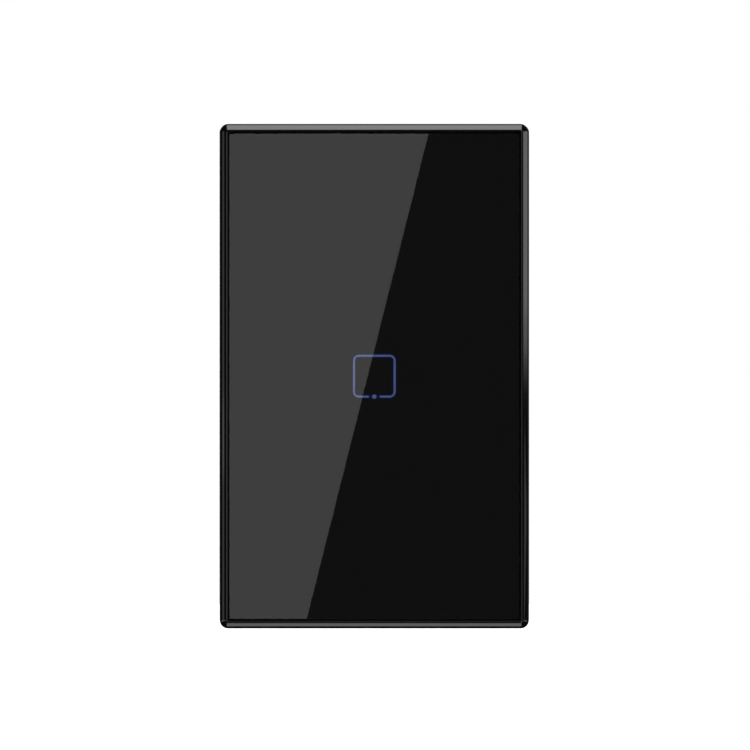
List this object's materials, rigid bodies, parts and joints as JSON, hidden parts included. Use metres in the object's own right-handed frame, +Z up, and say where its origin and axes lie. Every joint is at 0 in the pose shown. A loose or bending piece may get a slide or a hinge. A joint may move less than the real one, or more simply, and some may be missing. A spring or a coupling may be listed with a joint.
{
  "type": "touch switch",
  "caption": "Upright black glass touch wall switch in a slim metal frame, with a blue lit key outline and an in-wall power unit.",
  "frame": {"origin": "midway between the two wall box screws, on the plane of the wall", "axes": "+X right, +Y into the wall, +Z up; the front of the panel faces -Y"},
  "size_m": [0.0736, 0.0355, 0.12],
  "materials": {
    "frame_metal": "dark anodised, satin with a fine brushed grain",
    "panel_glass": "tempered, black behind, polished front",
    "mask_film": "black printed film",
    "tape": "black foam tape",
    "black_plastic": "fine spark texture",
    "clear_plastic": "clear moulded",
    "lamp": "clear resin over a small blue lamp",
    "spring_wire": "plated wire",
    "board": "dark solder mask",
    "power_board": "green solder mask",
    "screw_steel": "zinc plated",
    "chip_epoxy": "moulded epoxy",
    "tin": "tinned",
    "ceramic_body": "ceramic with tinned ends",
    "gold_pin": "gold flashed",
    "plate_plastic": "moulded, fine texture",
    "housing_plastic": "flame-retardant, fine spark texture",
    "barrier_sheet": "insulating sheet",
    "relay_plastic": "moulded cover",
    "plated_steel": "nickel plated",
    "white_plastic": "moulded bobbin",
    "copper_wire": "enamelled copper",
    "copper_blade": "beryllium copper",
    "brass": "brass strip",
    "ferrite": "ground ferrite",
    "winding_tape": "yellow polyester tape",
    "capacitor_sleeve": "shrink sleeve",
    "film_case": "moulded case",
    "varistor_coat": "dipped epoxy",
    "resistor_coat": "cement coat",
    "terminal_plastic": "moulded, grey",
    "cage_steel": "zinc plated"
  },
  "bodies": {
    "base": {"mounting_plate": "plate_plastic", "rear_housing": "housing_plastic", "housing_screws": "screw_steel", "insulation_barrier": "barrier_sheet", "power_board": "power_board", "lead_wires": "tin", "header_socket": "black_plastic", "relay_base": "black_plastic", "relay_cover": "relay_plastic", "relay_yoke": "plated_steel", "relay_core": "plated_steel", "relay_bobbin": "white_plastic", "relay_coil": "copper_wire", "relay_fixed_contact": "brass", "relay_pins": "tin", "transformer_core": "ferrite", "transformer_former": "black_plastic", "transformer_winding": "winding_tape", "bulk_capacitors": "capacitor_sleeve", "output_capacitor": "capacitor_sleeve", "film_capacitor": "film_case", "varistor": "varistor_coat", "fuse_resistor": "resistor_coat", "bridge_rectifier": "chip_epoxy", "supply_chip": "chip_epoxy", "terminal_block": "terminal_plastic", "terminal_bars": "brass"},
    "front_panel": {"front_frame": "frame_metal", "touch_glass": "panel_glass", "key_mask": "mask_film", "glass_tape": "tape", "panel_carrier": "black_plastic", "snap_fingers": "black_plastic", "light_shroud": "black_plastic", "light_guide": "clear_plastic", "dot_light_guide": "clear_plastic", "backlight_lamps": "lamp", "status_lamp": "lamp", "touch_spring": "spring_wire", "touch_board": "board", "touch_board_screws": "screw_steel", "touch_chip": "chip_epoxy", "touch_chip_leads": "tin", "radio_board": "board", "radio_shield": "tin", "ceramic_parts": "ceramic_body", "header_pins": "gold_pin", "header_strip": "black_plastic"},
    "relay_flap": {"relay_armature": "plated_steel", "relay_contact_blade": "copper_blade"},
    "screw_1": {"terminal_screw_1": "screw_steel"},
    "cage_1": {"clamp_cage_1": "cage_steel"},
    "screw_2": {"terminal_screw_2": "screw_steel"},
    "cage_2": {"clamp_cage_2": "cage_steel"},
    "screw_3": {"terminal_screw_3": "screw_steel"},
    "cage_3": {"clamp_cage_3": "cage_steel"}
  },
  "joints": [
    {"name": "panel_unclip", "type": "slide", "parent": "base", "child": "front_panel", "axis": [0, -1, 0], "range_m": [0, 0.02], "deforming": ["snap_fingers"]},
    {"name": "relay_armature_hinge", "type": "hinge", "parent": "base", "child": "relay_flap", "pos_m": [-0.0167, 0.0169, -0.0112], "axis": [0, 0, -1], "range_deg": [0, 3.5], "stiffness_Nm_per_rad": 0.05, "springref_deg": -1.72},
    {"name": "clamp_cage_rise_1", "type": "slide", "parent": "base", "child": "cage_1", "axis": [0, 1, 0], "range_m": [0, 0.0025]},
    {"name": "terminal_screw_turn_1", "type": "hinge", "parent": "base", "child": "screw_1", "pos_m": [-0.0086, 0.0155, -0.0253], "axis": [0, -1, 0], "range_deg": [0, 1801]},
    {"name": "clamp_cage_rise_2", "type": "slide", "parent": "base", "child": "cage_2", "axis": [0, 1, 0], "range_m": [0, 0.0025]},
    {"name": "terminal_screw_turn_2", "type": "hinge", "parent": "base", "child": "screw_2", "pos_m": [0, 0.0155, -0.0253], "axis": [0, -1, 0], "range_deg": [0, 1801]},
    {"name": "clamp_cage_rise_3", "type": "slide", "parent": "base", "child": "cage_3", "axis": [0, 1, 0], "range_m": [0, 0.0025]},
    {"name": "terminal_screw_turn_3", "type": "hinge", "parent": "base", "child": "screw_3", "pos_m": [0.0086, 0.0155, -0.0253], "axis": [0, -1, 0], "range_deg": [0, 1801]}
  ],
  "couplings": [
    {"joint": "terminal_screw_turn_1", "follows": "clamp_cage_rise_1", "rad_per_m": 12566},
    {"joint": "terminal_screw_turn_2", "follows": "clamp_cage_rise_2", "rad_per_m": 12566},
    {"joint": "terminal_screw_turn_3", "follows": "clamp_cage_rise_3", "rad_per_m": 12566}
  ]
}
